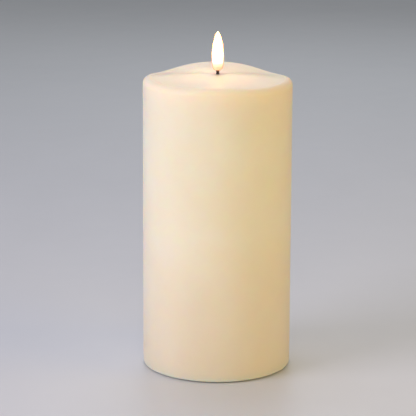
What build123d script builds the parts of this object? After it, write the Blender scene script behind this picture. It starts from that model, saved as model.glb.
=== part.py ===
"""Flameless LED candle: a wax pillar over a two-cell base, with a lamp inside a moulded flame.

Millimetres, +Z up. The origin is the centre of the foot, on the surface that the candle stands on.
The switch is on the -Y side of the base, which is the front, and the battery door hinges on +Y.
"""

from build123d import *
import math
import os

# Wax pillar, a nominal 3 by 6 inch size
WAX_RADIUS = 38.1
WAX_TOP = 152.4  # crest of the top
WAX_LIFT = 0.6  # the foot shows this far below the wax
WAX_BORE = 32.5
WAX_CEILING = 143.0  # underside of the wax's top
SHOULDER_RADIUS = 3.6
FOOT_ROUNDING = 1.0
DISH = 0.2  # how far the top is dished inside its crest

# Base
FLANGE_RADIUS = 35.5
FLANGE = 1.6
PLATE = 2.4  # floor of the base
CAN_RADIUS = 32.2
CAN_INSIDE = 30.6
CAN_TOP = 32.0
RUN_GAP = 0.05  # radial clearance of a turning pin

# Battery bay: two AA cells side by side, end to end in series
CELL_RADIUS = 7.1
CELL_LENGTH = 50.5
CELL_Y = 7.5
CELL_Z = 10.0
BAY_X = 27.8
BAY_Y = 15.2
BAY_WALL = 1.4
BAY_CEILING = 17.6
BAY_ROOF = 19.0
CONTACT = 0.4  # thickness of a contact plate
CONTACT_X = BAY_X - CONTACT

# Battery door
DOOR_BOTTOM = 0.3
DOOR_TOP = 1.8
LEDGE = 2.0  # what the shut door closes against
HINGE_Y = 18.4
HINGE_Z = 1.9
KNUCKLE_RADIUS = 1.4
PIN_RADIUS = 0.75
LATCH_END = -18.0

# Switch
SWITCH_Y = -24.0
SWITCH_STEP = 2.0  # travel between two of the three positions

# Electronics bay
BOARD_Z = 22.4
BOARD = 1.6
BOARD_SCREWS = (28.0, 16.0)  # pitch along X and Y
CAP = 2.0
CAP_TOP = CAN_TOP + CAP
CAP_SCREW_CIRCLE = 27.6

# Post and lamp
POST_RADIUS = 6.0
POST_BORE = 4.8
POST_TOP = 134.0
HUB_RADIUS = 8.0
HUB_TOP = 141.0
LED_BOARD_Z = 137.0
LED_BOARD = 1.2
COLLAR_RADIUS = 3.0
COLLAR_TOP = 147.0
WICK_RADIUS = 0.85
WICK_BORE = 0.6
WICK_TOP = 155.6
LED_PIN_X = 0.32
LED_RADIUS = 1.5

# Flame
FLAME_BOTTOM = 154.2
FLAME_WAIST = 160.2  # height of the widest place
FLAME_TIP = 174.7
FLAME_RADIUS = 3.1

WIRE_RADIUS = 0.55
UP = (Align.CENTER, Align.CENTER, Align.MIN)


def save(name, builder):
    """Label a finished piece and write it to its own file."""
    builder.part.label = name
    export_step(builder.part, f"parts/{name}.step")


def bend_radii(points):
    """Radius of each bend of a wire: as large as the two runs beside it allow."""
    radii = []
    for before, here, after in zip(points, points[1:], points[2:]):
        arriving = Vector(*here) - Vector(*before)
        leaving = Vector(*after) - Vector(*here)
        half_turn = math.radians(arriving.get_angle(leaving)) / 2
        radii.append(0.45 * min(arriving.length, leaving.length) / math.tan(half_turn))
    return radii


os.makedirs("parts", exist_ok=True)


# ---------------------------------------------------------------- wax_shell
# One turned profile: a straight wall, a rounded shoulder, and a shallow dish inside the crest.
with BuildPart() as wax_shell:
    with BuildSketch(Plane.XZ):
        with BuildLine():
            crest = (WAX_RADIUS - SHOULDER_RADIUS, WAX_TOP)
            wall_top = (WAX_RADIUS, WAX_TOP - SHOULDER_RADIUS)
            wall_foot = (WAX_RADIUS, WAX_LIFT + FOOT_ROUNDING)
            wick_edge = (WICK_RADIUS + 0.1, WAX_TOP - DISH)
            Line(wall_foot, wall_top)
            TangentArc(wall_top, crest, tangent=(0, 1))
            TangentArc(wick_edge, crest, tangent=(1, 0))
            Polyline(
                wick_edge,
                (WICK_RADIUS + 0.1, COLLAR_TOP + 0.2),
                (COLLAR_RADIUS + 0.1, COLLAR_TOP + 0.2),
                (COLLAR_RADIUS + 0.1, WAX_CEILING),
                (WAX_BORE, WAX_CEILING),
                (WAX_BORE, FLANGE),
                (FLANGE_RADIUS + 0.2, FLANGE),
                (FLANGE_RADIUS + 0.2, WAX_LIFT),
                (WAX_RADIUS - FOOT_ROUNDING, WAX_LIFT),
            )
            TangentArc((WAX_RADIUS - FOOT_ROUNDING, WAX_LIFT), wall_foot, tangent=(1, 0))
        make_face()
    revolve(axis=Axis.Z)
save("wax_shell", wax_shell)


# ---------------------------------------------------------------- base_housing
with BuildPart() as base_housing:
    # floor, foot flange and can
    Cylinder(FLANGE_RADIUS, FLANGE, align=UP)
    chamfer(base_housing.faces().sort_by(Axis.Z)[0].edges(), 0.3)
    Cylinder(CAN_RADIUS, CAN_TOP, align=UP)
    with Locations((0, 0, PLATE)):
        Cylinder(CAN_INSIDE, CAN_TOP, align=UP, mode=Mode.SUBTRACT)
    # walls and roof of the battery bay
    with BuildSketch(Plane.XY.offset(PLATE)):
        Circle(CAN_INSIDE + 0.2)
        Rectangle(2 * (BAY_X + BAY_WALL), 2 * (BAY_Y + BAY_WALL), mode=Mode.INTERSECT)
    extrude(amount=BAY_ROOF - PLATE)
    with BuildSketch(Plane.XY):
        Circle(CAN_INSIDE)
        Rectangle(2 * BAY_X, 2 * BAY_Y, mode=Mode.INTERSECT)
    extrude(amount=BAY_CEILING, mode=Mode.SUBTRACT)
    # rib between the cells, and slots for the solder tabs
    with Locations((0, 0, CELL_Z + 3.2)):
        Box(44, 1.4, BAY_CEILING - CELL_Z - 3.2, align=UP)
    with Locations((-BAY_X + CONTACT / 2, CELL_Y, CELL_Z), (-BAY_X + CONTACT / 2, -CELL_Y, CELL_Z)):
        Box(CONTACT, 3.2, BAY_ROOF, align=UP, mode=Mode.SUBTRACT)
    # opening for the door, wider on the hinge side so that the door's edge can swing
    with BuildSketch(Plane.XY):
        Circle(CAN_INSIDE + 0.1)
        with Locations((0, 0.3)):
            Rectangle(2 * BAY_X + 0.8, 2 * BAY_Y + 1.4, mode=Mode.INTERSECT)
    extrude(amount=LEDGE, mode=Mode.SUBTRACT)
    # hinge pocket with a hood over it, and the two blind holes for the pins
    with Locations((0, HINGE_Y + 0.2, PLATE)):
        Box(46.8, 6.0, 2.4, align=UP)
    with Locations((0, HINGE_Y - 0.6, 0)):
        Box(40, 4.8, HINGE_Z + 2.0, align=UP, mode=Mode.SUBTRACT)
    with Locations((0, HINGE_Y, HINGE_Z)):
        Cylinder(PIN_RADIUS + RUN_GAP, 45.6, rotation=(0, 90, 0), mode=Mode.SUBTRACT)
    # notch for the latch tab, and a scoop for a fingernail
    with Locations((0, LATCH_END + 1.1, 0)):
        Box(10.8, 3.0, LEDGE, align=UP, mode=Mode.SUBTRACT)
    with Locations((0, LATCH_END - 1.2, 0)):
        Box(9, 2.6, 1.0, align=UP, mode=Mode.SUBTRACT)
    # well and slot for the switch, with three position dimples, and pilot holes for its screws
    with Locations((0, SWITCH_Y, 0)):
        Box(11.2, 4.8, 0.8, align=UP, mode=Mode.SUBTRACT)
        Box(8, 3, PLATE, align=UP, mode=Mode.SUBTRACT)
    with GridLocations(SWITCH_STEP, 0, 3, 1):
        with Locations((0, SWITCH_Y - 3.6, 0)):
            Cylinder(0.4, 0.3, align=UP, mode=Mode.SUBTRACT)
    with Locations((-7.4, SWITCH_Y, 0.9), (7.4, SWITCH_Y, 0.9)):
        Cylinder(0.8, PLATE, align=UP, mode=Mode.SUBTRACT)
    # standoffs for the board
    with Locations((0, 0, BAY_ROOF - 0.2)):
        with GridLocations(*BOARD_SCREWS, 2, 2):
            Cylinder(2.2, BOARD_Z - BAY_ROOF + 0.2, align=UP)
    with Locations((0, 0, BAY_ROOF + 0.8)):
        with GridLocations(*BOARD_SCREWS, 2, 2):
            Cylinder(0.9, BOARD_Z, align=UP, mode=Mode.SUBTRACT)
    # bosses for the cap's screws, on the can's wall
    with PolarLocations(CAP_SCREW_CIRCLE, 3, start_angle=90):
        with Locations((0, 0, BAY_ROOF - 0.2)):
            Cylinder(3.2, CAN_TOP - BAY_ROOF + 0.2, align=UP)
    with PolarLocations(CAP_SCREW_CIRCLE, 3, start_angle=90):
        with Locations((0, 0, CAN_TOP - 8)):
            Cylinder(1.2, 9, align=UP, mode=Mode.SUBTRACT)
save("base_housing", base_housing)


# ---------------------------------------------------------------- battery_door
knuckle_outer = 19.7
with BuildPart() as battery_door:
    with BuildSketch(Plane.XY.offset(DOOR_BOTTOM)):
        Circle(CAN_INSIDE - 0.2)
        Rectangle(2 * BAY_X + 0.2, 2 * BAY_Y + 0.2, mode=Mode.INTERSECT)
        with Locations((0, LATCH_END + 2)):
            Rectangle(10, 4)
    extrude(amount=DOOR_TOP - DOOR_BOTTOM)
    chamfer(battery_door.faces().sort_by(Axis.Z)[0].edges(), 0.25)
    # snap bead on the end of the latch tab, and ribs to grip
    with Locations((0, LATCH_END, (DOOR_BOTTOM + DOOR_TOP) / 2)):
        Cylinder(0.35, 8, rotation=(0, 90, 0))
    with Locations((0, LATCH_END + 6, DOOR_BOTTOM - 0.2)):
        with GridLocations(0, 1.6, 1, 4):
            Box(12, 0.8, 0.4, align=UP)
    # hinge arms, knuckles and pins
    for side in (-1, 1):
        with Locations((side * (knuckle_outer - 4), HINGE_Y - 2, DOOR_BOTTOM + 0.2)):
            Box(8, 4, DOOR_TOP - DOOR_BOTTOM - 0.2, align=UP)
        with Locations((side * (knuckle_outer - 4), HINGE_Y, HINGE_Z)):
            Cylinder(KNUCKLE_RADIUS, 8, rotation=(0, 90, 0))
        with Locations((side * (knuckle_outer + 1.2), HINGE_Y, HINGE_Z)):
            Cylinder(PIN_RADIUS, 2.8, rotation=(0, 90, 0))
save("battery_door", battery_door)


# ---------------------------------------------------------------- cells and contacts
def cell(y, nub_side):
    """One AA cell lying along X, with its nub against the contact plate on nub_side."""
    with BuildPart() as piece:
        with BuildSketch(Plane.XY):
            Circle(CELL_RADIUS)
        extrude(amount=CELL_LENGTH - 1)
        fillet(piece.edges(), 0.6)
        with Locations((0, 0, CELL_LENGTH - 1)):
            Cylinder(2.75, 1, align=UP)
    turned = piece.part.rotate(Axis.Y, 90 * nub_side)
    start = nub_side * (CONTACT_X - CELL_LENGTH)
    with BuildPart() as placed:
        add(turned.moved(Location((start, y, CELL_Z))))
    return placed


def contact(side, y, length):
    """A flat contact plate standing against one end wall of the bay."""
    with BuildPart() as piece:
        with Locations((side * (BAY_X - CONTACT / 2), y, CELL_Z - 6)):
            Box(CONTACT, length, 12, align=UP)
        fillet(piece.edges().filter_by(Axis.X), 1.0)
    return piece


def with_tab(piece, y):
    """Add the solder tab that passes up through the bay's roof."""
    with BuildPart() as tabbed:
        add(piece.part)
        with Locations((-BAY_X + CONTACT / 2, y, CELL_Z + 5)):
            Box(CONTACT, 3, BAY_ROOF + 2.5 - CELL_Z - 5, align=UP)
    return tabbed


def contact_spring(side, y):
    """Coil spring between a contact plate and the flat end of a cell."""
    wire = 0.3
    gap = 2 * CONTACT_X - CELL_LENGTH
    with BuildPart() as piece:
        with BuildLine() as coil:
            Helix(
                pitch=1.2,
                height=gap - 2 * wire,
                radius=3.2,
                center=(side * (CONTACT_X - wire), y, CELL_Z),
                direction=(-side, 0, 0),
            )
        with BuildSketch(Plane(origin=coil.line @ 0, z_dir=coil.line % 0)):
            Circle(wire)
        sweep()
    return piece


save("cell_front", cell(-CELL_Y, 1))
save("cell_rear", cell(CELL_Y, -1))
save("contact_bridge", contact(1, 0, 25))
save("spring_bridge", contact_spring(1, CELL_Y))
save("contact_negative", with_tab(contact(-1, -CELL_Y, 10), -CELL_Y))
save("spring_negative", contact_spring(-1, -CELL_Y))
save("contact_positive", with_tab(contact(-1, CELL_Y, 10), CELL_Y))


# ---------------------------------------------------------------- switch
with BuildPart() as switch_body:
    with Locations((0, SWITCH_Y, PLATE)):
        Box(9.2, 4.4, 4.4, align=UP)
        Box(19.2, 4.4, 0.5, align=UP)
        Box(6.4, 1.8, 3.4, align=UP, mode=Mode.SUBTRACT)
    with Locations((-7.4, SWITCH_Y, PLATE), (7.4, SWITCH_Y, PLATE)):
        Cylinder(0.8, 1, align=UP, mode=Mode.SUBTRACT)
save("switch_body", switch_body)

# The knob is stored at its first position, which turns the candle on.
with BuildPart() as switch_slider:
    with Locations((-SWITCH_STEP, SWITCH_Y, 0.5)):
        Box(3.2, 2.2, 1.8, align=UP)
        Box(1.8, 1.4, 5.0, align=UP)
    with Locations((-SWITCH_STEP, SWITCH_Y, 0.5)):
        with GridLocations(0.9, 0, 3, 1):
            Box(0.35, 2.2, 0.25, align=UP, mode=Mode.SUBTRACT)
save("switch_slider", switch_slider)

with BuildPart() as switch_screws:
    with Locations((-7.4, SWITCH_Y, 0.9), (7.4, SWITCH_Y, 0.9)):
        Cylinder(0.8, PLATE + 0.5 - 0.9, align=UP)
    with Locations((-7.4, SWITCH_Y, PLATE + 0.5), (7.4, SWITCH_Y, PLATE + 0.5)):
        Cylinder(1.6, 1.3, align=UP)
        with Locations((0, 0, 0.7)):
            Box(2.2, 0.4, 0.7, align=UP, mode=Mode.SUBTRACT)
save("switch_screws", switch_screws)


# ---------------------------------------------------------------- circuit board
board_top = BOARD_Z + BOARD
with BuildPart() as circuit_board:
    with BuildSketch(Plane.XY.offset(BOARD_Z)):
        RectangleRounded(34, 22, 2)
        with GridLocations(*BOARD_SCREWS, 2, 2):
            Circle(0.9, mode=Mode.SUBTRACT)
    extrude(amount=BOARD)
save("circuit_board", circuit_board)

with BuildPart() as timer_chip:
    with Locations((4, -3, board_top + 0.2)):
        Box(6, 4, 1.5, align=UP)
    with Locations((4, -3, board_top)):
        with GridLocations(1.27, 0, 4, 1):
            Box(0.5, 6, 0.5, align=UP)
save("timer_chip", timer_chip)

with BuildPart() as capacitor:
    with Locations((-7, -3, board_top)):
        Cylinder(2.5, 6, align=UP)
    fillet(capacitor.faces().sort_by(Axis.Z)[-1].edges(), 0.4)
save("capacitor", capacitor)

with BuildPart() as resistors:
    with Locations((6, 5, board_top), (9.5, 5, board_top), (-6, 6, board_top)):
        Box(2, 1.25, 0.5, align=UP)
save("resistors", resistors)

with BuildPart() as board_screws:
    with Locations((0, 0, BAY_ROOF + 0.8)):
        with GridLocations(*BOARD_SCREWS, 2, 2):
            Cylinder(0.9, board_top - BAY_ROOF - 0.8, align=UP)
    with Locations((0, 0, board_top)):
        with GridLocations(*BOARD_SCREWS, 2, 2):
            Cylinder(1.8, 1.3, align=UP)
            with Locations((0, 0, 0.7)):
                Box(2.6, 0.4, 0.7, align=UP, mode=Mode.SUBTRACT)
save("board_screws", board_screws)


# ---------------------------------------------------------------- housing_cap
with BuildPart() as housing_cap:
    with Locations((0, 0, CAN_TOP)):
        Cylinder(CAN_RADIUS, CAP, align=UP)
        Cylinder(HUB_RADIUS, CAP + 8, align=UP)
    with Locations((0, 0, CAP_TOP)):
        Cylinder(POST_RADIUS, 9, align=UP, mode=Mode.SUBTRACT)
    with Locations((0, 0, CAN_TOP)):
        Cylinder(POST_BORE, 3, align=UP, mode=Mode.SUBTRACT)
    with Locations((0, 0, CAN_TOP)):
        with PolarLocations(CAP_SCREW_CIRCLE, 3, start_angle=90):
            Cylinder(1.2, CAP, align=UP, mode=Mode.SUBTRACT)
save("housing_cap", housing_cap)

with BuildPart() as cap_screws:
    with Locations((0, 0, CAN_TOP - 8)):
        with PolarLocations(CAP_SCREW_CIRCLE, 3, start_angle=90):
            Cylinder(1.2, 8 + CAP, align=UP)
    with Locations((0, 0, CAP_TOP)):
        with PolarLocations(CAP_SCREW_CIRCLE, 3, start_angle=90):
            Cylinder(2.3, 1.6, align=UP)
            with Locations((0, 0, 0.9)):
                Box(3.4, 0.5, 0.9, align=UP, mode=Mode.SUBTRACT)
save("cap_screws", cap_screws)


# ---------------------------------------------------------------- post and top holder
with BuildPart() as core_post:
    with BuildSketch(Plane.XY.offset(CAP_TOP)):
        Circle(POST_RADIUS)
        Circle(POST_BORE, mode=Mode.SUBTRACT)
    extrude(amount=POST_TOP - CAP_TOP)
save("core_post", core_post)

# A hub on the post, four arms, and a ring that keeps the wax centred.
with BuildPart() as top_holder:
    with Locations((0, 0, POST_TOP - 8)):
        Cylinder(HUB_RADIUS, HUB_TOP - POST_TOP + 8, align=UP)
    with PolarLocations(19.5, 4, start_angle=45):
        with Locations((0, 0, HUB_TOP - 5)):
            Box(24.5, 2.4, 5, align=UP)
    with BuildSketch(Plane.XY.offset(HUB_TOP - 4)):
        Circle(CAN_RADIUS)
        Circle(CAN_INSIDE, mode=Mode.SUBTRACT)
    extrude(amount=WAX_CEILING - HUB_TOP + 4)
    with Locations((0, 0, POST_TOP - 8)):
        Cylinder(POST_RADIUS, 8, align=UP, mode=Mode.SUBTRACT)
        Cylinder(POST_BORE, 12, align=UP, mode=Mode.SUBTRACT)
    with Locations((0, 0, LED_BOARD_Z)):
        Cylinder(HUB_RADIUS - 1.2, HUB_TOP, align=UP, mode=Mode.SUBTRACT)
save("top_holder", top_holder)

with BuildPart() as led_board:
    with Locations((0, 0, LED_BOARD_Z)):
        Cylinder(HUB_RADIUS - 1.2, LED_BOARD, align=UP)
        with GridLocations(2 * LED_PIN_X, 0, 2, 1):
            Cylinder(0.2, LED_BOARD, align=UP, mode=Mode.SUBTRACT)
save("led_board", led_board)


# ---------------------------------------------------------------- wick, lamp and flame
with BuildPart() as flame_collar:
    with Locations((0, 0, HUB_TOP)):
        Cylinder(6.6, WAX_CEILING - HUB_TOP, align=UP)
        Cylinder(COLLAR_RADIUS, COLLAR_TOP - HUB_TOP, align=UP)
        Cylinder(WICK_RADIUS, COLLAR_TOP - HUB_TOP, align=UP, mode=Mode.SUBTRACT)
save("flame_collar", flame_collar)

with BuildPart() as wick_sleeve:
    with Locations((0, 0, LED_BOARD_Z + LED_BOARD)):
        Cylinder(WICK_RADIUS, WICK_TOP - LED_BOARD_Z - LED_BOARD, align=UP)
        Cylinder(WICK_BORE, WICK_TOP - LED_BOARD_Z - LED_BOARD, align=UP, mode=Mode.SUBTRACT)
save("wick_sleeve", wick_sleeve)

with BuildPart() as led_pins:
    with Locations((0, 0, LED_BOARD_Z - 0.6)):
        with GridLocations(2 * LED_PIN_X, 0, 2, 1):
            Cylinder(0.2, WICK_TOP - LED_BOARD_Z + 0.6, align=UP)
save("led_pins", led_pins)

led_straight = 4.0
with BuildPart() as led_lamp:
    with Locations((0, 0, WICK_TOP)):
        Cylinder(LED_RADIUS, led_straight, align=UP)
        Cylinder(LED_RADIUS + 0.1, 0.8, align=UP)
    with Locations((0, 0, WICK_TOP + led_straight)):
        Sphere(LED_RADIUS)
save("led_lamp", led_lamp)

# Teardrop: a full round bowl that draws in to a soft point, hollow around the lamp. The curve
# ends in a tiny flat at the tip, and at the socket for the wick below.
tip_flat = 0.3
bowl_height = FLAME_WAIST - FLAME_BOTTOM
flank_height = FLAME_TIP - FLAME_WAIST
with BuildPart() as flame_diffuser:
    with BuildSketch(Plane.XZ):
        with BuildLine():
            outline = Spline(
                (WICK_RADIUS, FLAME_BOTTOM),
                (0.71 * FLAME_RADIUS, FLAME_WAIST - 0.71 * bowl_height),
                (0.93 * FLAME_RADIUS, FLAME_WAIST - 0.37 * bowl_height),
                (FLAME_RADIUS, FLAME_WAIST),
                (0.97 * FLAME_RADIUS, FLAME_WAIST + 0.23 * flank_height),
                (0.82 * FLAME_RADIUS, FLAME_WAIST + 0.54 * flank_height),
                (0.45 * FLAME_RADIUS, FLAME_WAIST + 0.86 * flank_height),
                (tip_flat, FLAME_TIP),
                tangents=[(1, 0.2), (-1, 0.6)],
            )
            Polyline(outline @ 1, (0, FLAME_TIP), (0, FLAME_BOTTOM), outline @ 0)
        make_face()
    revolve(axis=Axis.Z)
    with Locations((0, 0, WICK_TOP)):
        Cylinder(LED_RADIUS + 0.2, led_straight, align=UP, mode=Mode.SUBTRACT)
    with Locations((0, 0, WICK_TOP + led_straight)):
        Sphere(LED_RADIUS + 0.2, mode=Mode.SUBTRACT)
    with Locations((0, 0, FLAME_BOTTOM - 1)):
        Cylinder(WICK_RADIUS, WICK_TOP - FLAME_BOTTOM + 1, align=UP, mode=Mode.SUBTRACT)
save("flame_diffuser", flame_diffuser)


# ---------------------------------------------------------------- wiring
tab_top = BAY_ROOF + 2.5
tab_x = -BAY_X + CONTACT / 2
switch_top = PLATE + 4.4
wire_foot = board_top + 0.2  # a slanting end stays just above the board
wires = {
    "lead_battery_red": [
        (tab_x, CELL_Y, tab_top),
        (tab_x + 0.6, CELL_Y, tab_top + 3.6),
        (tab_x + 3.6, CELL_Y - 0.2, tab_top + 6.4),
        (tab_x + 8.0, CELL_Y - 1.6, tab_top + 7.0),
        (tab_x + 12.4, CELL_Y - 3.2, tab_top + 5.8),
        (tab_x + 13.4, CELL_Y - 3.8, wire_foot),
    ],
    "lead_battery_black": [
        (tab_x, -CELL_Y, tab_top),
        (tab_x + 0.5, -CELL_Y, tab_top + 3.4),
        (tab_x + 3.4, -CELL_Y - 0.3, tab_top + 6.0),
        (tab_x + 7.6, -CELL_Y + 1.4, tab_top + 6.8),
        (tab_x + 11.8, -CELL_Y + 3.4, tab_top + 5.6),
        (tab_x + 13.0, -CELL_Y + 4.2, wire_foot),
    ],
    "lead_switch_a": [
        (-2, SWITCH_Y, switch_top),
        (-2.1, SWITCH_Y - 0.4, switch_top + 5.4),
        (-2.3, SWITCH_Y - 0.2, switch_top + 11),
        (-2.4, SWITCH_Y + 0.8, switch_top + 16.4),
        (-2.5, SWITCH_Y + 4.2, switch_top + 20.6),
        (-2.6, SWITCH_Y + 9.2, switch_top + 21.8),
        (-2.7, SWITCH_Y + 13.6, switch_top + 20.6),
        (-2.8, SWITCH_Y + 15.0, wire_foot),
    ],
    "lead_switch_b": [
        (2, SWITCH_Y, switch_top),
        (2.1, SWITCH_Y - 0.2, switch_top + 5.6),
        (1.9, SWITCH_Y - 0.5, switch_top + 11.2),
        (1.7, SWITCH_Y + 0.9, switch_top + 16.8),
        (1.4, SWITCH_Y + 4.4, switch_top + 21),
        (1.0, SWITCH_Y + 9.0, switch_top + 21.6),
        (0.7, SWITCH_Y + 13.2, switch_top + 20.4),
        (0.4, SWITCH_Y + 14.8, wire_foot),
    ],
    "lead_led_red": [
        (2.6, 0.8, board_top),
        (1.8, 1.6, board_top + 20),
        (2.7, 0.9, board_top + 43),
        (1.5, 2.4, board_top + 68),
        (2.4, 1.3, board_top + 92),
        (2.2, 1.8, LED_BOARD_Z),
    ],
    "lead_led_black": [
        (-2.4, 0.6, board_top),
        (-1.9, 1.5, board_top + 22),
        (-2.6, -0.6, board_top + 46),
        (-1.6, 0.8, board_top + 70),
        (-2.5, -0.4, board_top + 93),
        (-2.2, 1.0, LED_BOARD_Z),
    ],
}


def wire(name, points):
    """A round wire: straight runs joined by tangent arcs."""
    radii = bend_radii(points)
    with BuildPart() as piece:
        with BuildLine() as path:
            FilletPolyline(*points, radius=radii)
        with BuildSketch(Plane(origin=path.line @ 0, z_dir=path.line % 0)):
            Circle(WIRE_RADIUS)
        sweep()
    ratio = piece.part.volume / (math.pi * WIRE_RADIUS**2 * path.wires()[0].length)
    print(f"{name}: least bend radius {min(radii):.1f} mm, volume ratio {ratio:.4f}")
    save(name, piece)


for wire_name, route in wires.items():
    wire(wire_name, route)
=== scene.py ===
"""Looks of the flameless LED candle: wax, flame, wick, moulded base and what is inside it."""
import math

import bmesh
import bpy
from mathutils import Matrix, Vector, noise


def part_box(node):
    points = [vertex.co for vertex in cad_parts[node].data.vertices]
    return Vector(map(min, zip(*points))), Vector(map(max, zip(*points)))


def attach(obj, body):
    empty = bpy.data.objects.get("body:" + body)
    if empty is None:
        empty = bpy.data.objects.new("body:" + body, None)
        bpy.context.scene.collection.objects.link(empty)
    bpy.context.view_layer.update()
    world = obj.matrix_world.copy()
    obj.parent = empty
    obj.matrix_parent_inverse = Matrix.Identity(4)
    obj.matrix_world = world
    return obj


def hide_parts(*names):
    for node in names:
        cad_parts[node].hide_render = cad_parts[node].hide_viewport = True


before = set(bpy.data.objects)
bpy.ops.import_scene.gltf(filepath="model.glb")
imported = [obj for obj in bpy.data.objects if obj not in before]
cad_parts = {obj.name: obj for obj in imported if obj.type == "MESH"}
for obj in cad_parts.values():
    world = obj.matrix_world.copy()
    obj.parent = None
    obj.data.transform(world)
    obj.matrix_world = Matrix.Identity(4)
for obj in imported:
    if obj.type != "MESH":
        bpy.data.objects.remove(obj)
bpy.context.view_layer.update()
MM = 0.001
BODY = "candle"

wax_low, wax_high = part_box("wax_shell")
can_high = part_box("base_housing")[1]
flame_low, flame_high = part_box("flame_diffuser")
wick_low, wick_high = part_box("wick_sleeve")
collar_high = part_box("flame_collar")[1]
holder_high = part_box("top_holder")[1]

WAX_RADIUS = wax_high.x
WAX_TOP = wax_high.z
WAX_FOOT = wax_low.z
FLANGE_RADIUS = can_high.x
FLANGE_TOP = WAX_FOOT + 1.0 * MM
WAX_BORE = holder_high.x + 0.3 * MM
WAX_CEILING = holder_high.z
WICK_RADIUS = wick_high.x
FLAME_RADIUS = flame_high.x


# ------------------------------------------------------------------ camera
def make_camera():
    """A long lens, a little above the candle and looking slightly down at it."""
    distance = 1.268
    elevation = math.radians(14.71)
    aim = Vector((-0.00465, 0, 0.0823))
    roll = math.radians(0.23)
    back = Vector((0, -math.cos(elevation), math.sin(elevation)))
    right = Vector((1, 0, 0))
    up = back.cross(right)
    turned_right = math.cos(roll) * right + math.sin(roll) * up
    turned_up = math.cos(roll) * up - math.sin(roll) * right
    data = bpy.data.cameras.new("camera")
    data.sensor_width = 36
    data.lens = 213.4
    data.clip_start = 0.05
    data.clip_end = 20
    camera = bpy.data.objects.new("camera", data)
    bpy.context.scene.collection.objects.link(camera)
    turn = Matrix((turned_right, turned_up, back)).transposed().to_4x4()
    camera.matrix_world = Matrix.Translation(aim + back * distance) @ turn
    bpy.context.scene.camera = camera


# ------------------------------------------------------------------ material helpers
class Paint:
    """A node material: one Principled shader, and short calls that add the nodes in front of it."""

    def __init__(self, name):
        self.material = bpy.data.materials.new(name)
        self.material.use_nodes = True
        self.tree = self.material.node_tree
        self.tree.nodes.clear()
        self.shader = self.add("ShaderNodeBsdfPrincipled")
        self.output = self.add("ShaderNodeOutputMaterial")
        self.link(self.shader.outputs["BSDF"], self.output.inputs["Surface"])
        self.place = self.add("ShaderNodeTexCoord").outputs["Object"]

    def add(self, kind, **values):
        node = self.tree.nodes.new(kind)
        for key, value in values.items():
            setattr(node, key, value)
        return node

    def link(self, source, target):
        self.tree.links.new(source, target)

    def set(self, **values):
        for key, value in values.items():
            self.shader.inputs[key.replace("_", " ")].default_value = value

    def noise(self, scale, detail=3.0, roughness=0.55, stretch=None):
        """Noise in object space; scale is in features per metre."""
        node = self.add("ShaderNodeTexNoise")
        node.inputs["Scale"].default_value = scale
        node.inputs["Detail"].default_value = detail
        node.inputs["Roughness"].default_value = roughness
        self.link(self.stretched(stretch), node.inputs["Vector"])
        return node.outputs["Fac"]

    def stretched(self, stretch):
        if stretch is None:
            return self.place
        node = self.add("ShaderNodeMapping")
        node.inputs["Scale"].default_value = stretch
        self.link(self.place, node.inputs["Vector"])
        return node.outputs["Vector"]

    def ramp(self, source, *stops):
        """Colour ramp with stops of (position, colour)."""
        node = self.add("ShaderNodeValToRGB")
        ramp = node.color_ramp
        while len(ramp.elements) < len(stops):
            ramp.elements.new(0.5)
        for element, (position, colour) in zip(ramp.elements, stops):
            element.position = position
            element.color = (*colour, 1)
        self.link(source, node.inputs["Fac"])
        return node.outputs["Color"]

    def range(self, source, low, high, new_low, new_high):
        node = self.add("ShaderNodeMapRange")
        for key, value in (("From Min", low), ("From Max", high), ("To Min", new_low), ("To Max", new_high)):
            node.inputs[key].default_value = value
        self.link(source, node.inputs["Value"])
        return node.outputs["Result"]

    def multiply(self, first, second):
        node = self.add("ShaderNodeMix", data_type="RGBA", blend_type="MULTIPLY")
        node.inputs["Factor"].default_value = 1.0
        self.link(first, node.inputs["A"])
        self.link(second, node.inputs["B"])
        return node.outputs["Result"]

    def height(self):
        """Height above the foot, in metres."""
        node = self.add("ShaderNodeSeparateXYZ")
        self.link(self.place, node.inputs["Vector"])
        return node.outputs["Z"]

    def bump(self, *layers):
        """Bump from layers of (height source, strength, distance in metres)."""
        normal = None
        for source, strength, distance in layers:
            node = self.add("ShaderNodeBump")
            node.inputs["Strength"].default_value = strength
            node.inputs["Distance"].default_value = distance
            self.link(source, node.inputs["Height"])
            if normal is not None:
                self.link(normal, node.inputs["Normal"])
            normal = node.outputs["Normal"]
        self.link(normal, self.shader.inputs["Normal"])

    def colour(self, source):
        self.link(source, self.shader.inputs["Base Color"])

    def roughness(self, source):
        self.link(source, self.shader.inputs["Roughness"])


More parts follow.
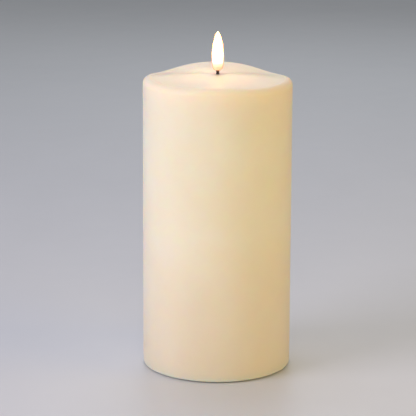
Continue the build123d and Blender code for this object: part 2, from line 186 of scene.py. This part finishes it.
# ------------------------------------------------------------------ materials
def wax_material(name, low_rough, high_rough, fine_bump, film):
    """Ivory paraffin: deep soft scattering and a satin skin; film is the weight of a clear film on it.

    It is a little darker low down by painted shade, and a thin painted strip of bounce light keeps the foot
    edge at full brightness.
    """
    wax = Paint(name)
    cloud = wax.ramp(wax.noise(28, 3.0, 0.5), (0.30, (0.905, 0.800, 0.610)), (0.72, (0.935, 0.845, 0.670)))
    rise = wax.range(wax.height(), WAX_FOOT, WAX_FOOT + 0.5 * WAX_TOP, 0.0, 1.0)
    # painted shade: darker towards the bottom, with a painted bounce-light strip at the very foot
    shade = wax.ramp(
        rise,
        (0.0, (1.0, 1.0, 1.0)),
        (0.025, (0.85, 0.85, 0.84)),
        (0.35, (0.90, 0.90, 0.89)),
        (1.0, (1.0, 1.0, 1.0)),
    )
    wax.colour(wax.multiply(cloud, shade))
    wax.roughness(wax.range(wax.noise(160, 4.0, 0.6), 0.3, 0.7, low_rough, high_rough))
    wax.bump(
        (wax.noise(60, 2.0), 0.12, 0.3 * MM),
        (wax.noise(1800, 3.0, 0.6), fine_bump, 0.05 * MM),
    )
    wax.set(
        Subsurface_Weight=1.0,
        Subsurface_Radius=(1.0, 0.65, 0.35),
        Subsurface_Scale=8.0 * MM,
        IOR=1.44,
        Specular_IOR_Level=0.25,
        Coat_Weight=film,
        Coat_Roughness=0.07,
    )
    return wax.material


def flame_material():
    """The frosted skin of the flame: a thin warm glow that the bright core shows through."""
    skin = Paint("flame_skin")
    grain = skin.noise(900, 2.0)
    skin.colour(skin.ramp(grain, (0.3, (0.80, 0.42, 0.18)), (0.7, (0.84, 0.46, 0.21))))
    height = skin.range(skin.height(), flame_low.z, flame_high.z, 0.0, 1.0)
    glow = skin.ramp(height, (0.0, (1.0, 0.50, 0.20)), (0.30, (1.0, 0.46, 0.14)), (1.0, (1.0, 0.50, 0.20)))
    skin.link(glow, skin.shader.inputs["Emission Color"])
    skin.set(Emission_Strength=0.5, Roughness=0.35, Alpha=0.30)
    return skin.material


def core_material():
    """The lit body of the flame: white hot above, fading to a faint peach glow at the wick."""
    core = Paint("flame_core")
    grain = core.noise(700, 2.0)
    core.colour(core.ramp(grain, (0.3, (1.0, 0.71, 0.48)), (0.7, (1.0, 0.75, 0.52))))
    height = core.range(core.height(), flame_low.z, flame_high.z, 0.0, 1.0)
    glow = core.ramp(
        height,
        (0.0, (1.0, 0.90, 0.76)),
        (0.22, (1.0, 0.92, 0.82)),
        (0.50, (1.0, 0.73, 0.32)),
        (1.0, (1.0, 0.73, 0.32)),
    )
    core.link(glow, core.shader.inputs["Emission Color"])
    strength = core.ramp(
        height,
        (0.0, (0.008,) * 3),
        (0.10, (0.011,) * 3),
        (0.20, (0.035,) * 3),
        (0.30, (0.200,) * 3),
        (0.50, (1.0,) * 3),
    )
    core.link(core.range(strength, 0.0, 1.0, 0.0, 30.0), core.shader.inputs["Emission Strength"])
    core.set(Roughness=0.5)
    return core.material


def wick_material():
    """Charred black cord."""
    wick = Paint("black_wick")
    fibre = wick.noise(2600, 3.0, 0.6, (1, 1, 0.35))
    wick.colour(wick.ramp(fibre, (0.35, (0.012, 0.008, 0.006)), (0.70, (0.050, 0.030, 0.020))))
    wick.roughness(wick.range(fibre, 0.3, 0.7, 0.65, 0.85))
    wick.bump((fibre, 0.5, 0.1 * MM))
    return wick.material


def moulded(name, dark, light, low_rough=0.38, high_rough=0.52, grain=2600):
    """Injection-moulded plastic: spark-eroded grain, slight shade changes, a few handling marks."""
    plastic = Paint(name)
    plastic.colour(plastic.ramp(plastic.noise(70, 3.0), (0.32, dark), (0.70, light)))
    plastic.roughness(plastic.range(plastic.noise(400, 4.0, 0.65), 0.3, 0.7, low_rough, high_rough))
    plastic.bump(
        (plastic.noise(grain, 2.0, 0.6), 0.22, 0.04 * MM),
        (plastic.noise(90, 2.0), 0.10, 0.2 * MM),
    )
    return plastic.material


def metal(name, dark, light, low_rough, high_rough, brushed=(1, 1, 1)):
    """Bare or plated metal with fine drawn lines."""
    plate = Paint(name)
    lines = plate.noise(1500, 3.0, 0.6, brushed)
    plate.colour(plate.ramp(lines, (0.3, dark), (0.7, light)))
    plate.roughness(plate.range(lines, 0.3, 0.7, low_rough, high_rough))
    plate.bump((lines, 0.15, 0.02 * MM))
    plate.set(Metallic=1.0)
    return plate.material


def board_material():
    """Solder mask over glass fibre, with the weave just showing."""
    board = Paint("solder_mask")
    weave = board.noise(1400, 1.0, 0.4, (1, 0.3, 1))
    board.colour(board.ramp(weave, (0.35, (0.010, 0.070, 0.028)), (0.65, (0.016, 0.110, 0.045))))
    board.roughness(board.range(board.noise(300), 0.3, 0.7, 0.22, 0.36))
    board.bump((weave, 0.12, 0.03 * MM))
    board.set(Coat_Weight=0.3, Coat_Roughness=0.2)
    return board.material


def cell_material():
    """Plain dark sleeve of a cell, very slightly paler towards one end."""
    cell = Paint("cell_sleeve")
    along = cell.add("ShaderNodeSeparateXYZ")
    cell.link(cell.place, along.inputs["Vector"])
    shade = cell.ramp(
        cell.range(along.outputs["X"], -28 * MM, 28 * MM, 0.0, 1.0),
        (0.0, (0.020, 0.022, 0.026)),
        (1.0, (0.028, 0.030, 0.036)),
    )
    cell.colour(shade)
    cell.roughness(cell.range(cell.noise(500), 0.3, 0.7, 0.16, 0.28))
    cell.bump((cell.noise(120), 0.08, 0.1 * MM))
    cell.set(Coat_Weight=0.4, Coat_Roughness=0.12)
    return cell.material


def lamp_material():
    """Water-clear epoxy of the lamp."""
    lamp = Paint("clear_epoxy")
    lamp.colour(lamp.ramp(lamp.noise(600), (0.3, (0.93, 0.88, 0.72)), (0.7, (0.98, 0.94, 0.82))))
    lamp.roughness(lamp.range(lamp.noise(800), 0.3, 0.7, 0.05, 0.12))
    lamp.set(Transmission_Weight=0.6, IOR=1.5)
    return lamp.material


def floor_material():
    """Pale table top with a soft sheen."""
    floor = Paint("pale_floor")
    cloud = floor.noise(3.0, 4.0, 0.6)
    floor.colour(floor.ramp(cloud, (0.3, (0.610, 0.665, 0.710)), (0.7, (0.635, 0.690, 0.735))))
    floor.roughness(floor.range(floor.noise(40, 4.0), 0.3, 0.7, 0.34, 0.42))
    return floor.material


# ------------------------------------------------------------------ mesh helpers
def to_object(mesh_data, name, smooth=True):
    mesh = bpy.data.meshes.new(name)
    mesh_data.to_mesh(mesh)
    mesh_data.free()
    for polygon in mesh.polygons:
        polygon.use_smooth = smooth
    piece = bpy.data.objects.new(name, mesh)
    bpy.context.scene.collection.objects.link(piece)
    return piece


def lathe(rings, segments, close=True):
    """Skin a list of rings; each is a function of the angle that returns a point.

    With close, the last ring joins the first, which makes a closed shell with a hole through it.
    """
    shape = bmesh.new()
    rows = []
    for ring in rings:
        angles = [2 * math.pi * step / segments for step in range(segments)]
        rows.append([shape.verts.new(ring(angle)) for angle in angles])
    pairs = list(zip(rows, rows[1:]))
    if close:
        pairs.append((rows[-1], rows[0]))
    for lower, upper in pairs:
        for step in range(segments):
            after = (step + 1) % segments
            shape.faces.new((lower[step], lower[after], upper[after], upper[step]))
    if not close:
        shape.faces.new(reversed(rows[0]))
        shape.faces.new(rows[-1])
    bmesh.ops.recalc_face_normals(shape, faces=shape.faces)
    return shape


def ring(radius, height):
    return lambda angle: (radius * math.cos(angle), radius * math.sin(angle), height)


def smooth_step(value):
    value = min(1.0, max(0.0, value))
    return value * value * (3 - 2 * value)


# ------------------------------------------------------------------ wax
SHOULDER = 3.8 * MM
CREST_RADIUS = WAX_RADIUS - SHOULDER
WALL_INSET = 0.07 * MM  # leaves room for the wall's unevenness
FOOT_ROUNDING = 1.0 * MM
LIP = 0.12 * MM
# The melted rim rises and falls as these waves, (turns, height) with the back at 0.
CREST_DROP = 1.30 * MM  # mean height of the rim, below the top
CREST_WAVES = ((1, -0.57), (2, 0.67), (3, 0.46), (4, 0.63), (6, -0.08), (7, -0.13))
CREST_LEAN = 0.29 * MM  # the right side is this much lower than the left
# Inside the rim the top is a low mound, with a barely raised ring half way out from the wick.
MOUND_TOP = WAX_TOP + 0.2 * MM
LIP_SHARE = 0.975  # where the lip starts, as a part of the crest's radius
RIDGE_SHARE = 0.50
RIDGE_RISE = 0.06 * MM


def crest_height(angle):
    """Height of the crest of the top at an angle from +X."""
    from_back = math.pi / 2 - angle
    wave = sum(size * MM * math.cos(turns * from_back) for turns, size in CREST_WAVES)
    return WAX_TOP - CREST_DROP + wave - CREST_LEAN * math.sin(from_back)


def wax_wobble(x, y, z):
    """Slow unevenness of the poured wall, as a change of radius."""
    return 0.06 * MM * noise.noise(Vector((x, y, z * 0.6)) / (22 * MM))


def wall_ring(height):
    def at(angle):
        x, y = math.cos(angle), math.sin(angle)
        radius = WAX_RADIUS - WALL_INSET + wax_wobble(x * WAX_RADIUS, y * WAX_RADIUS, height)
        return (radius * x, radius * y, height)

    return at


def shoulder_ring(turn):
    """A ring on the rounded shoulder; turn goes from 0 at the wall to a right angle at the crest."""

    def at(angle):
        x, y = math.cos(angle), math.sin(angle)
        crest = crest_height(angle)
        height = crest - SHOULDER * (1 - math.sin(turn))
        wall = WAX_RADIUS - WALL_INSET + wax_wobble(x * WAX_RADIUS, y * WAX_RADIUS, height) * math.cos(turn)
        radius = wall - SHOULDER * (1 - math.cos(turn))
        return (radius * x, radius * y, height)

    return at


def top_ring(share):
    """A ring on the top inside the crest; share is its part of the crest's radius."""

    def at(angle):
        x, y = math.cos(angle), math.sin(angle)
        radius = share * CREST_RADIUS
        ridge = RIDGE_RISE * smooth_step(share / RIDGE_SHARE)
        outward = smooth_step(share)
        height = MOUND_TOP + ridge * (1 - outward)
        height += (crest_height(angle) - LIP - MOUND_TOP) * outward
        height += LIP * smooth_step((share - LIP_SHARE) / (1 - LIP_SHARE))
        melt = noise.noise(Vector((radius * x, radius * y, 0)) / (9 * MM))
        height += 0.06 * MM * melt * smooth_step((1 - share) / 0.2) * smooth_step(share / 0.2)
        return (radius * x, radius * y, height)

    return at


def make_wax():
    rings = []
    for step in range(9):
        turn = math.pi / 2 * step / 8
        radius = WAX_RADIUS - WALL_INSET - FOOT_ROUNDING * (1 - math.sin(turn))
        rings.append(ring(radius, WAX_FOOT + FOOT_ROUNDING * (1 - math.cos(turn))))
    wall_start = WAX_FOOT + FOOT_ROUNDING
    lowest_crest = 4.5 * MM
    wall_end = WAX_TOP - SHOULDER - lowest_crest
    wall_steps = 56
    for step in range(1, wall_steps + 1):
        rings.append(wall_ring(wall_start + (wall_end - wall_start) * step / wall_steps))
    for step in range(15):
        rings.append(shoulder_ring(math.pi / 2 * step / 14))
    hole_radius = WICK_RADIUS + 0.03 * MM
    hole = hole_radius / CREST_RADIUS
    shares = [1 - 0.005 * step for step in range(1, 15)]
    shares += [0.93 - (0.93 - hole) * (step / 30) for step in range(1, 31)]
    rings += [top_ring(share) for share in shares]
    gap = 0.2 * MM
    socket_top = collar_high.z + gap
    socket_radius = 3.1 * MM
    for radius, height in (
        (hole_radius, socket_top),
        (socket_radius, socket_top),
        (socket_radius, WAX_CEILING),
        (WAX_BORE, WAX_CEILING),
        (WAX_BORE, FLANGE_TOP),
        (FLANGE_RADIUS + gap, FLANGE_TOP),
        (FLANGE_RADIUS + gap, WAX_FOOT),
    ):
        rings.append(ring(radius, height))
    piece = to_object(lathe(rings, 192), "wax_pillar")
    piece.data.materials.append(wax_material("ivory_wax", 0.40, 0.52, 0.10, 0.0))
    piece.data.materials.append(wax_material("melted_wax", 0.50, 0.58, 0.0, 0.16))
    for polygon in piece.data.polygons:
        x, y, z = polygon.center
        if math.hypot(x, y) < CREST_RADIUS and z > WAX_CEILING + SHOULDER:
            polygon.material_index = 1
    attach(piece, BODY)
    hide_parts("wax_shell")


# ------------------------------------------------------------------ flame and wick
def flame_radius(share):
    """Radius at a share of the flame's height: a round bowl that draws in to a soft point."""
    waist = 0.29
    if share < waist:
        return FLAME_RADIUS * (1 - (1 - share / waist) ** 3) ** (1 / 3)
    return FLAME_RADIUS * (1 - ((share - waist) / (1 - waist)) ** 2) ** 0.61


def flame_shape(name, shrink):
    """The flame's form, drawn in by shrink all round, and by about half as much at each end."""
    length = flame_high.z - flame_low.z
    steps = 60
    rings = []
    for step in range(steps + 1):
        share = 0.5 - 0.5 * math.cos(math.pi * (0.012 + 0.984 * step / steps))
        radius = max(0.04 * MM, flame_radius(share) - shrink)
        height = flame_low.z + 0.6 * shrink + (length - shrink) * share
        rings.append(ring(radius, height))
    return to_object(lathe(rings, 72, close=False), name)


def make_flame():
    skin = flame_shape("flame_skin", 0.0)
    skin.data.materials.append(flame_material())
    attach(skin, BODY)
    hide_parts("flame_diffuser")
    core = flame_shape("flame_core", 0.50 * MM)
    core.data.materials.append(core_material())
    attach(core, BODY)


def make_wick():
    """A cord of four twisted strands, from the lamp board up into the flame."""
    shape = bmesh.new()
    strands, sides, rows = 4, 12, 140
    twist_pitch = 3.6 * MM
    strand_radius = 0.5 * WICK_RADIUS
    for strand in range(strands):
        previous = None
        for row in range(rows + 1):
            height = wick_low.z + (wick_high.z - wick_low.z) * row / rows
            turn = 2 * math.pi * (strand / strands + height / twist_pitch)
            centre = Vector((math.cos(turn), math.sin(turn), 0)) * (WICK_RADIUS - strand_radius)
            loop = []
            for side in range(sides):
                angle = 2 * math.pi * side / sides
                offset = Vector((math.cos(angle), math.sin(angle), 0)) * strand_radius
                loop.append(shape.verts.new(centre + offset + Vector((0, 0, height))))
            if previous:
                for side in range(sides):
                    after = (side + 1) % sides
                    shape.faces.new((previous[side], previous[after], loop[after], loop[side]))
            else:
                shape.faces.new(reversed(loop))
            previous = loop
        shape.faces.new(previous)
    bmesh.ops.recalc_face_normals(shape, faces=shape.faces)
    wick = to_object(shape, "wick_cord")
    wick.data.materials.append(wick_material())
    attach(wick, BODY)
    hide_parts("wick_sleeve")


# ------------------------------------------------------------------ carried-over CAD nodes
def dress(material, *names):
    for name in names:
        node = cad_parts[name]
        node.data.materials.clear()
        node.data.materials.append(material)


def dress_frame():
    shell = moulded("ivory_plastic", (0.74, 0.67, 0.53), (0.80, 0.73, 0.60))
    inner = moulded("inner_plastic", (0.66, 0.64, 0.58), (0.72, 0.70, 0.64))
    knob = moulded("black_plastic", (0.012, 0.012, 0.013), (0.022, 0.022, 0.024))
    nickel = metal("nickel_plate", (0.66, 0.64, 0.60), (0.80, 0.78, 0.73), 0.16, 0.30)
    steel = metal("zinc_steel", (0.48, 0.48, 0.47), (0.62, 0.62, 0.61), 0.28, 0.44)
    dress(shell, "base_housing", "battery_door")
    dress(inner, "housing_cap", "top_holder", "core_post", "flame_collar")
    dress(knob, "switch_slider", "timer_chip", "resistors")
    dress(nickel, "contact_bridge", "contact_negative", "contact_positive", "spring_bridge")
    dress(nickel, "spring_negative", "led_pins")
    dress(steel, "switch_body", "switch_screws", "board_screws", "cap_screws")
    dress(metal("can_aluminium", (0.5, 0.5, 0.52), (0.64, 0.64, 0.66), 0.25, 0.4), "capacitor")
    dress(board_material(), "circuit_board", "led_board")
    dress(cell_material(), "cell_front", "cell_rear")
    dress(lamp_material(), "led_lamp")
    red = moulded("red_insulation", (0.36, 0.010, 0.010), (0.46, 0.016, 0.014), 0.28, 0.40)
    black = moulded("black_insulation", (0.012, 0.012, 0.012), (0.022, 0.022, 0.022), 0.28, 0.40)
    white = moulded("white_insulation", (0.66, 0.66, 0.64), (0.74, 0.74, 0.72), 0.28, 0.40)
    dress(red, "lead_battery_red", "lead_led_red")
    dress(black, "lead_battery_black", "lead_led_black")
    dress(white, "lead_switch_a", "lead_switch_b")


# ------------------------------------------------------------------ floor and light
def make_floor():
    shape = bmesh.new()
    reach = 6.0
    corners = [shape.verts.new((x * reach, y * reach, 0)) for x, y in ((-1, -1), (1, -1), (1, 1), (-1, 1))]
    shape.faces.new(corners)
    floor = to_object(shape, "floor", smooth=False)
    floor.data.materials.append(floor_material())


def soft_box(name, place, size, power, colour):
    """A square area light that faces the upper part of the candle."""
    data = bpy.data.lights.new(name, "AREA")
    data.shape = "SQUARE"
    data.size = size
    data.energy = power
    data.color = colour
    light = bpy.data.objects.new(name, data)
    bpy.context.scene.collection.objects.link(light)
    light.location = place
    target = Vector((0, 0, 0.7 * WAX_TOP))
    light.rotation_mode = "QUATERNION"
    light.rotation_quaternion = (target - Vector(place)).to_track_quat("-Z", "Y")


def make_light():
    soft_box("key", (-0.64, -0.36, 0.38), 0.45, 3.6, (0.96, 0.85, 1.00))
    soft_box("fill", (0.70, -0.27, 0.32), 0.45, 1.75, (1.00, 0.58, 0.07))
    soft_box("front", (0.05, -0.85, 0.30), 0.40, 1.8, (1.00, 0.79, 0.51))
    soft_box("top", (-0.05, 0.30, 0.84), 0.50, 1.55, (0.91, 0.82, 1.00))
    soft_box("back", (0.10, 0.80, 0.52), 0.50, 0.85, (1.00, 0.98, 0.96))
    world = bpy.data.worlds.new("studio")
    world.use_nodes = True
    background = world.node_tree.nodes["Background"]
    background.inputs["Color"].default_value = (1.0, 1.0, 1.0, 1)
    background.inputs["Strength"].default_value = 0.28
    bpy.context.scene.world = world
    bpy.context.scene.view_settings.view_transform = "Standard"


make_camera()
make_wax()
make_flame()
make_wick()
dress_frame()
make_floor()
make_light()
